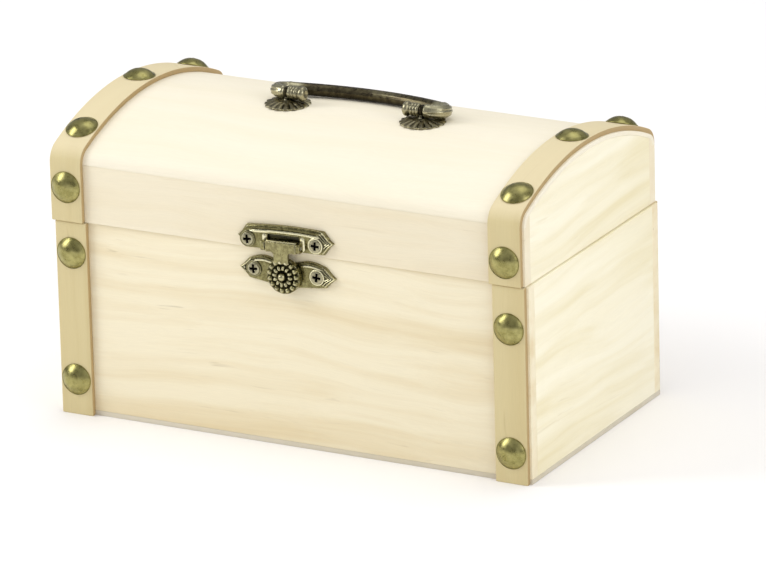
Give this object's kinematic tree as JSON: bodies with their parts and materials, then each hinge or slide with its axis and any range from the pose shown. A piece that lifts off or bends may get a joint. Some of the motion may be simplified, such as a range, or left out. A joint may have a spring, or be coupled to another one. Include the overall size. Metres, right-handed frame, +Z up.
{
  "type": "money box",
  "caption": "Domed wooden chest money box with nailed straps, a coin slot in the lid, a hinged lid with a hasp latch, and a folding bail handle.",
  "frame": {"origin": "middle of the underside, under the crossing of the body's two centre planes", "axes": "+X to the right along the width as seen from the front, -Y towards the latch side, +Z up"},
  "size_m": [0.1808, 0.1067, 0.1112],
  "materials": {
    "panel_wood": "bare sanded pine, very pale",
    "end_wood": "bare sanded pine, very pale",
    "dome_wood": "bare thin plywood, almost white",
    "strap_wood": "bare thin plywood strip, tan",
    "nail_brass": "antique brass, worn bright on top",
    "bronze": "antique bronze plating, dark in the hollows",
    "screw_bronze": "antique bronze plating",
    "steel": "zinc plated"
  },
  "bodies": {
    "body": {"base_plate": "panel_wood", "front_panel": "panel_wood", "back_panel": "panel_wood", "left_end_panel": "end_wood", "right_end_panel": "end_wood", "front_left_strap": "strap_wood", "front_right_strap": "strap_wood", "back_left_strap": "strap_wood", "back_right_strap": "strap_wood", "body_front_nails": "nail_brass", "body_back_nails": "nail_brass", "keeper_plate": "bronze", "keeper_stud": "bronze", "keeper_screws": "screw_bronze", "body_hinge_leaf_left": "bronze", "body_hinge_leaf_right": "bronze", "hinge_pin_left": "steel", "hinge_pin_right": "steel", "body_hinge_screws": "screw_bronze"},
    "lid": {"lid_front_rail": "panel_wood", "lid_back_rail": "panel_wood", "lid_left_end": "end_wood", "lid_right_end": "end_wood", "dome_sheet": "dome_wood", "lid_left_strap": "strap_wood", "lid_right_strap": "strap_wood", "lid_left_nails": "nail_brass", "lid_right_nails": "nail_brass", "hasp_plate": "bronze", "hasp_plate_screws": "screw_bronze", "hasp_pin": "steel", "lid_hinge_leaf_left": "bronze", "lid_hinge_leaf_right": "bronze", "lid_hinge_screws": "screw_bronze", "left_rosette": "bronze", "right_rosette": "bronze", "left_handle_post": "bronze", "right_handle_post": "bronze", "handle_washers": "steel", "handle_nuts": "steel"},
    "hasp": {"hasp": "bronze"},
    "bail": {"handle_bail": "bronze", "left_bail_cap": "bronze", "right_bail_cap": "bronze"}
  },
  "joints": [
    {"name": "lid_hinge", "type": "hinge", "parent": "body", "child": "lid", "pos_m": [0, 0.0506, 0.0692], "axis": [-1, 0, 0], "range_deg": [0, 150]},
    {"name": "hasp_pivot", "type": "hinge", "parent": "lid", "child": "hasp", "pos_m": [-0.0008, -0.0514, 0.0721], "axis": [-0.9996, 0, -0.0297], "range_deg": [0, 160]},
    {"name": "bail_pivot", "type": "hinge", "parent": "lid", "child": "bail", "pos_m": [0.0012, -0.0013, 0.1086], "axis": [1, 0, 0], "range_deg": [0, 200]}
  ]
}
